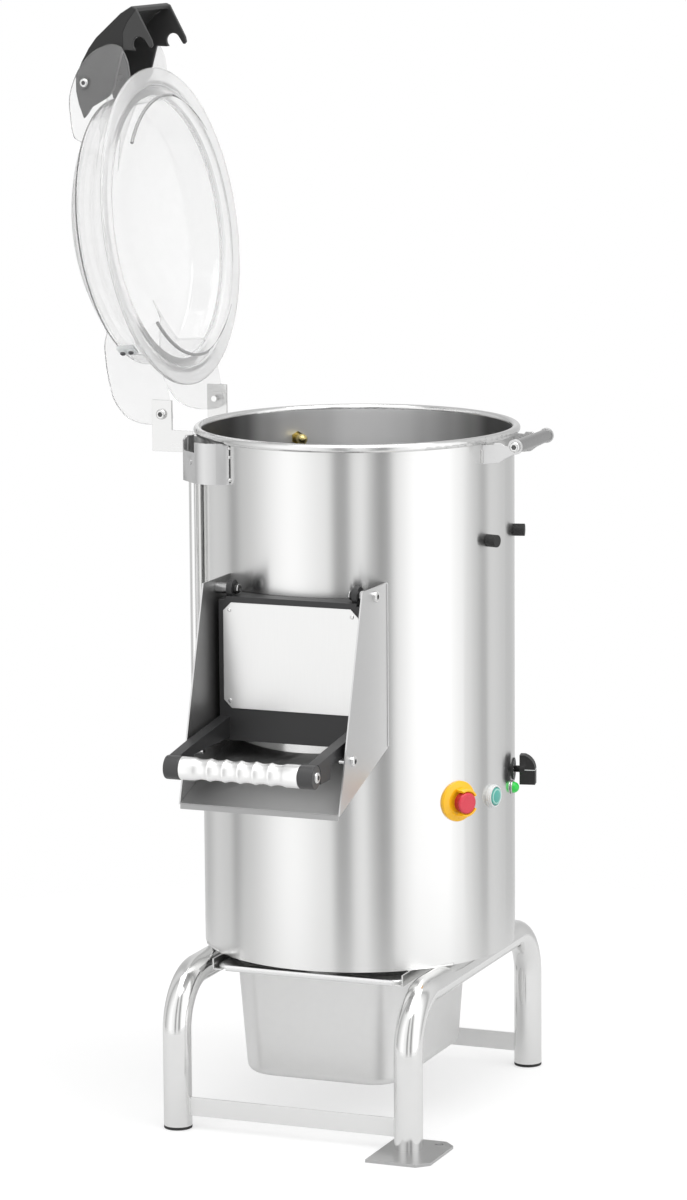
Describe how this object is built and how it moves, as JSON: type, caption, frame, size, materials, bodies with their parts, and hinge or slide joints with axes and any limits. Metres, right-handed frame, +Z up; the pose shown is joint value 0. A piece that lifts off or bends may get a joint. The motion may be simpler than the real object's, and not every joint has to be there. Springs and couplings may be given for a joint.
{
  "type": "electric potato peeler",
  "caption": "Electric potato peeler: steel drum on a tube stand, clear lid hinged at the side with a latch, discharge door in a chute, peel pan underneath, controls low on the drum.",
  "frame": {"origin": "on the floor, on the axis of the drum", "axes": "+Z up along the drum's axis, -Y towards the chute at the front, +X to the right seen from the chute, so the lid's hinge is on the -X side"},
  "size_m": [0.6426, 0.7015, 1.4726],
  "materials": {
    "brushed_sheet": "vertical brushed grain, satin",
    "plain_sheet": "mill finish, satin",
    "grey_sheet": "fine brushed, darker, satin",
    "satin_tube": "polished tube, satin",
    "pan_steel": "deep drawn, soft gloss",
    "bright_steel": "turned, bright",
    "cast_iron": "as cast",
    "cast_aluminium": "polished casting",
    "abrasive": "coarse grit",
    "motor_paint": "satin paint",
    "brass": "satin",
    "clear_plastic": "clear moulding, glossy",
    "black_plastic": "fine matte",
    "charcoal_plastic": "fine matte",
    "grey_plastic": "satin",
    "black_rubber": "matte",
    "yellow_plastic": "gloss",
    "red_plastic": "gloss",
    "green_plastic": "gloss",
    "green_lens": "gloss lens"
  },
  "bodies": {
    "frame_and_drum": {"drum_shell": "brushed_sheet", "chamber_floor": "plain_sheet", "bottom_cover": "plain_sheet", "hex_bolts": "bright_steel", "drain_duct": "plain_sheet", "abrasive_liner": "abrasive", "shaft_seal": "black_rubber", "bearing_housing": "cast_iron", "shaft_bearings": "bright_steel", "drive_belt": "black_rubber", "motor_body": "motor_paint", "motor_bracket": "plain_sheet", "water_nozzle": "brass", "water_inlet": "brass", "cable_gland": "black_plastic", "hinge_plates": "plain_sheet", "rim_bolts": "bright_steel", "switch_box": "brushed_sheet", "switch_conduit": "plain_sheet", "lid_switch": "black_plastic", "catch_plates": "plain_sheet", "catch_rod": "bright_steel", "rubber_bumpers": "black_rubber", "chute_side_left": "grey_sheet", "chute_side_right": "grey_sheet", "chute_floor": "grey_sheet", "stop_studs": "bright_steel", "door_bushes": "bright_steel", "door_pivot_screws": "bright_steel", "estop_collar": "yellow_plastic", "button_bezels": "grey_plastic", "lamp_lens": "green_lens", "timer_dial": "black_plastic", "contact_blocks": "grey_plastic", "left_frame": "satin_tube", "right_frame": "satin_tube", "cross_bars": "plain_sheet", "foot_caps": "black_rubber", "floor_plates": "plain_sheet", "pan_runners": "plain_sheet"},
    "disc": {"abrasive_disc": "abrasive", "disc_nut": "bright_steel", "drive_shaft": "bright_steel", "driven_pulley": "cast_iron"},
    "motor_rotor": {"motor_shaft": "bright_steel", "motor_pulley": "cast_iron"},
    "lid": {"lid_dome": "clear_plastic", "lid_magnet": "grey_plastic", "latch_screws": "bright_steel"},
    "latch": {"lid_latch": "black_plastic"},
    "door": {"door_body": "charcoal_plastic", "door_face_plate": "brushed_sheet", "door_seal": "black_rubber", "handle_grip": "cast_aluminium", "handle_caps": "charcoal_plastic", "door_screws": "bright_steel"},
    "estop": {"estop_button": "red_plastic"},
    "start": {"start_button": "green_plastic"},
    "timer": {"timer_knob": "black_plastic"},
    "pan": {"peel_pan": "pan_steel"}
  },
  "joints": [
    {"name": "disc_spin", "type": "hinge", "parent": "frame_and_drum", "child": "disc", "pos_m": [0, 0, 0.508], "axis": [0, 0, 1], "continuous": true},
    {"name": "motor_spin", "type": "hinge", "parent": "frame_and_drum", "child": "motor_rotor", "pos_m": [-0.061, 0.10565, 0.28], "axis": [0, 0, 1], "continuous": true},
    {"name": "lid_hinge", "type": "hinge", "parent": "frame_and_drum", "child": "lid", "pos_m": [-0.243, 0, 0.934], "axis": [0, 1, 0], "range_deg": [0, 98]},
    {"name": "latch_pivot", "type": "hinge", "parent": "lid", "child": "latch", "pos_m": [-0.36292, 0, 1.37056], "axis": [0, -1, 0], "range_deg": [0, 11]},
    {"name": "door_hinge", "type": "hinge", "parent": "frame_and_drum", "child": "door", "pos_m": [0, -0.222, 0.727], "axis": [-1, 0, 0], "range_deg": [0, 100]},
    {"name": "estop_press", "type": "slide", "parent": "frame_and_drum", "child": "estop", "axis": [-0.866, 0.5, 0], "range_m": [0, 0.004]},
    {"name": "start_press", "type": "slide", "parent": "frame_and_drum", "child": "start", "axis": [-0.9806, 0.1959, 0], "range_m": [0, 0.003], "stiffness_N_per_m": 800, "springref_m": -0.002},
    {"name": "timer_turn", "type": "hinge", "parent": "frame_and_drum", "child": "timer", "pos_m": [0.21967, 0.0487, 0.456], "axis": [0.9763, 0.2164, 0], "range_deg": [-300, 0]},
    {"name": "pan_slide", "type": "slide", "parent": "frame_and_drum", "child": "pan", "axis": [0, -1, 0], "range_m": [0, 0.33]}
  ],
  "couplings": [
    {"joint": "motor_spin", "follows": "disc_spin", "ratio": 4.3333}
  ]
}
